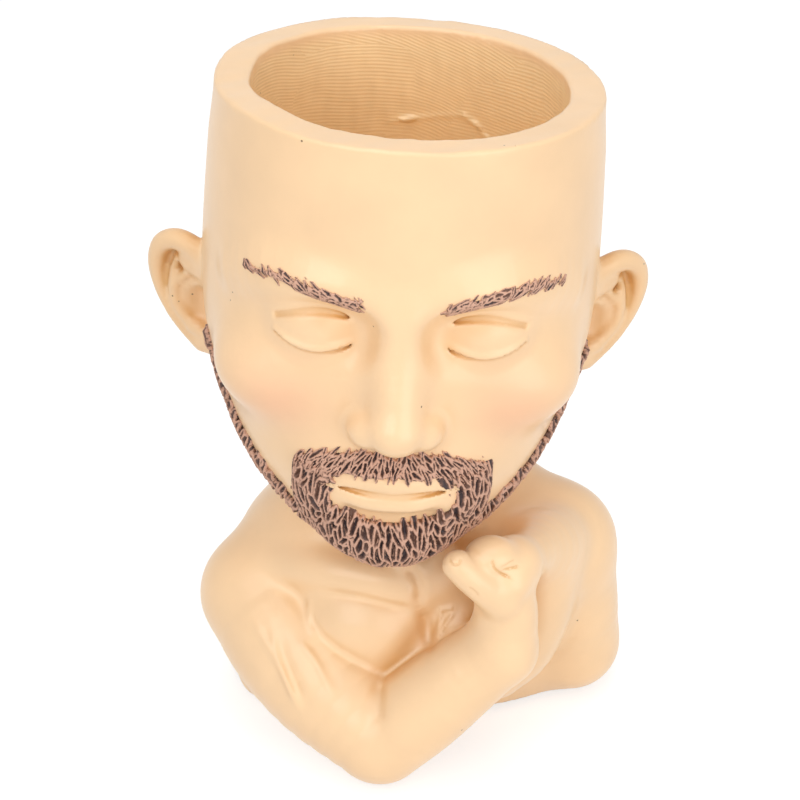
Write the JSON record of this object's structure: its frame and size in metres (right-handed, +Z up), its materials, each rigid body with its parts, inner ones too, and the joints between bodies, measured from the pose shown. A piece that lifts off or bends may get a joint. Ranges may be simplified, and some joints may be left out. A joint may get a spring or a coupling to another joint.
{
  "type": "head planter",
  "caption": "Resin planter shaped as a bearded head with an open crown for the pot, on a small bust that rests its chin on one hand, with a drain hole and pull plug.",
  "frame": {"origin": "middle of the bounding box on the plane that the pads stand on", "axes": "+Z up, the figure faces -Y, its right arm is on -X"},
  "size_m": [0.1458, 0.1238, 0.2057],
  "materials": {
    "painted_resin": "satin hand-painted cast resin",
    "hair_paint": "dark wash with dry-brushed ridges",
    "plug_rubber": "matt moulded rubber",
    "pad_foam": "matt self-adhesive foam rubber"
  },
  "bodies": {
    "planter": {"head_pot": "painted_resin", "bust": "painted_resin", "right_arm": "painted_resin", "left_arm": "painted_resin", "right_hand": "painted_resin", "right_ear": "painted_resin", "left_ear": "painted_resin", "beard": "hair_paint", "moustache": "hair_paint", "right_eyebrow": "hair_paint", "left_eyebrow": "hair_paint", "foot_pads": "pad_foam"},
    "plug": {"drain_plug": "plug_rubber"}
  },
  "joints": [
    {"name": "plug_pull", "type": "slide", "parent": "planter", "child": "plug", "axis": [0, 0, -1], "range_m": [0, 0.085]}
  ]
}
